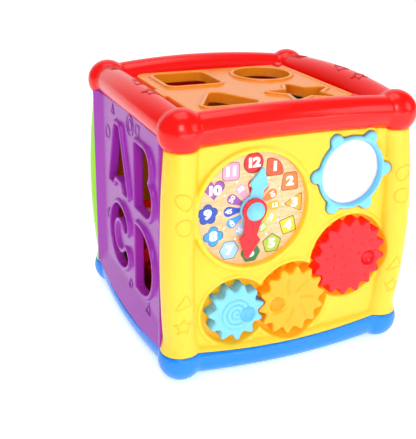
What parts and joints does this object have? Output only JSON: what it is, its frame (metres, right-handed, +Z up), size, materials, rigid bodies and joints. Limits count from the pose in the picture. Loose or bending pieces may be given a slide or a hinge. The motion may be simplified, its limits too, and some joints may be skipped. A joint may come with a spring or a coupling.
{
  "type": "baby activity cube",
  "caption": "Cube-shaped baby activity toy with round corner bars, a clock, a mirror, meshing gears, letter openings and a hinged shape-sorting lid.",
  "frame": {"origin": "centre of the underside, on the floor plane", "axes": "+Z up; -Y is the clock and gear face, -X the letter face, +X the spinner face, +Y the keyboard face"},
  "size_m": [0.16, 0.16, 0.16],
  "materials": {
    "red_plastic": "glossy moulded red",
    "yellow_plastic": "glossy moulded yellow",
    "lime_plastic": "glossy moulded lime green",
    "purple_plastic": "glossy moulded purple",
    "teal_plastic": "glossy moulded teal",
    "blue_plastic": "glossy moulded blue",
    "orange_plastic": "glossy moulded orange",
    "amber_plastic": "glossy moulded amber",
    "sky_plastic": "glossy moulded sky blue",
    "green_plastic": "glossy moulded green",
    "dial_print": "printed dial",
    "mirror_glass": "safe acrylic mirror",
    "grey_plastic": "dark grey plastic",
    "board": "green circuit board",
    "chips": "black component",
    "steel": "plated steel",
    "cell": "battery sleeve",
    "silicone": "silicone",
    "lens": "clear red lens",
    "wire": "wire insulation"
  },
  "bodies": {
    "case": {"top_frame": "red_plastic", "base_frame": "blue_plastic", "front_panel": "yellow_plastic", "back_panel": "lime_plastic", "left_panel": "purple_plastic", "right_panel": "teal_plastic", "lid_hinge_pin": "steel", "clock_dial": "dial_print", "clock_spindle": "grey_plastic", "hub_cap": "sky_plastic", "mirror_frame": "sky_plastic", "mirror_plate": "mirror_glass", "electronics_cover": "orange_plastic", "circuit_board": "board", "board_components": "chips", "keypad_membrane": "silicone", "speaker": "chips", "leds": "lens", "wires": "wire", "floor_tray": "red_plastic", "bottom_plate": "blue_plastic", "batteries": "cell", "battery_contacts": "steel", "case_screws": "steel", "plate_screws": "steel"},
    "lid": {"top_lid": "orange_plastic"},
    "hour_hand_body": {"hour_hand": "sky_plastic"},
    "minute_hand_body": {"minute_hand": "red_plastic"},
    "large_gear": {"gear_large": "red_plastic", "gear_screw_large": "steel"},
    "medium_gear": {"gear_medium": "amber_plastic", "gear_screw_medium": "steel"},
    "small_gear": {"gear_small": "sky_plastic", "gear_screw_small": "steel"},
    "spinner_body": {"spinner": "amber_plastic", "spinner_screw": "steel"},
    "upper_slider": {"slider_bead_upper": "red_plastic", "slider_clip_upper": "grey_plastic"},
    "lower_slider": {"slider_bead_lower": "yellow_plastic", "slider_clip_lower": "grey_plastic"},
    "light_button_body": {"light_button": "lens"},
    "switch_body": {"power_switch": "orange_plastic"},
    "battery_hatch": {"battery_door": "blue_plastic", "battery_door_screw": "steel"},
    "key_1": {"piano_key_1": "red_plastic"},
    "key_2": {"piano_key_2": "orange_plastic"},
    "key_3": {"piano_key_3": "yellow_plastic"},
    "key_4": {"piano_key_4": "blue_plastic"},
    "key_5": {"piano_key_5": "purple_plastic"},
    "square_block": {"block_square": "blue_plastic"},
    "round_block": {"block_round": "yellow_plastic"},
    "triangle_block": {"block_triangle": "green_plastic"},
    "star_block": {"block_star": "red_plastic"},
    "letter_a_block": {"letter_a": "green_plastic"},
    "letter_b_block": {"letter_b": "blue_plastic"},
    "letter_c_block": {"letter_c": "red_plastic"},
    "letter_d_block": {"letter_d": "red_plastic"}
  },
  "joints": [
    {"name": "lid_hinge", "type": "hinge", "parent": "case", "child": "lid", "pos_m": [0.0516, 0, 0.151], "axis": [0, 1, 0], "range_deg": [0, 105]},
    {"name": "hour_hand_turn", "type": "hinge", "parent": "case", "child": "hour_hand_body", "pos_m": [-0.0263, -0.0727, 0.1003], "axis": [0, 1, 0], "continuous": true},
    {"name": "minute_hand_turn", "type": "hinge", "parent": "case", "child": "minute_hand_body", "pos_m": [-0.0263, -0.075, 0.1003], "axis": [0, 1, 0], "continuous": true},
    {"name": "large_gear_turn", "type": "hinge", "parent": "case", "child": "large_gear", "pos_m": [0.03782, -0.072, 0.06187], "axis": [0, 1, 0], "continuous": true},
    {"name": "medium_gear_turn", "type": "hinge", "parent": "case", "child": "medium_gear", "pos_m": [0.0001, -0.072, 0.0402], "axis": [0, 1, 0], "continuous": true},
    {"name": "small_gear_turn", "type": "hinge", "parent": "case", "child": "small_gear", "pos_m": [-0.03613, -0.072, 0.0391], "axis": [0, 1, 0], "continuous": true},
    {"name": "spinner_turn", "type": "hinge", "parent": "case", "child": "spinner_body", "pos_m": [0.077, 0, 0.104], "axis": [1, 0, 0], "continuous": true},
    {"name": "upper_slider_slide", "type": "slide", "parent": "case", "child": "upper_slider", "axis": [0, 1, 0], "range_m": [0, 0.04]},
    {"name": "lower_slider_slide", "type": "slide", "parent": "case", "child": "lower_slider", "axis": [0, 1, 0], "range_m": [0, 0.04]},
    {"name": "key_1_press", "type": "slide", "parent": "case", "child": "key_1", "axis": [0, -1, 0], "range_m": [0, 0.002], "stiffness_N_per_m": 400},
    {"name": "key_2_press", "type": "slide", "parent": "case", "child": "key_2", "axis": [0, -1, 0], "range_m": [0, 0.002], "stiffness_N_per_m": 400},
    {"name": "key_3_press", "type": "slide", "parent": "case", "child": "key_3", "axis": [0, -1, 0], "range_m": [0, 0.002], "stiffness_N_per_m": 400},
    {"name": "key_4_press", "type": "slide", "parent": "case", "child": "key_4", "axis": [0, -1, 0], "range_m": [0, 0.002], "stiffness_N_per_m": 400},
    {"name": "key_5_press", "type": "slide", "parent": "case", "child": "key_5", "axis": [0, -1, 0], "range_m": [0, 0.002], "stiffness_N_per_m": 400},
    {"name": "light_button_press", "type": "slide", "parent": "case", "child": "light_button_body", "axis": [0, -1, 0], "range_m": [0, 0.0025], "stiffness_N_per_m": 400},
    {"name": "switch_slide", "type": "slide", "parent": "case", "child": "switch_body", "axis": [0, 0, 1], "range_m": [0, 0.008]},
    {"name": "battery_door_out", "type": "slide", "parent": "case", "child": "battery_hatch", "axis": [0, 0, -1], "range_m": [0, 0.025]},
    {"name": "square_block_out", "type": "slide", "parent": "case", "child": "square_block", "axis": [0, 0, 1], "range_m": [0, 0.125]},
    {"name": "round_block_out", "type": "slide", "parent": "case", "child": "round_block", "axis": [0, 0, 1], "range_m": [0, 0.125]},
    {"name": "triangle_block_out", "type": "slide", "parent": "case", "child": "triangle_block", "axis": [0, 0, 1], "range_m": [0, 0.125]},
    {"name": "star_block_out", "type": "slide", "parent": "case", "child": "star_block", "axis": [0, 0, 1], "range_m": [0, 0.125]},
    {"name": "letter_c_out", "type": "slide", "parent": "case", "child": "letter_c_block", "axis": [-1, 0, 0], "range_m": [0, 0.035]},
    {"name": "letter_d_out", "type": "slide", "parent": "case", "child": "letter_d_block", "axis": [-1, 0, 0], "range_m": [0, 0.035]},
    {"name": "letter_a_lift", "type": "slide", "parent": "case", "child": "letter_a_block", "axis": [0, 0, 1], "range_m": [0, 0.05]},
    {"name": "letter_b_lift", "type": "slide", "parent": "case", "child": "letter_b_block", "axis": [0, 0, 1], "range_m": [0, 0.05]}
  ],
  "couplings": [
    {"joint": "medium_gear_turn", "follows": "large_gear_turn", "ratio": -1.1429},
    {"joint": "small_gear_turn", "follows": "large_gear_turn", "ratio": 1.4545}
  ]
}
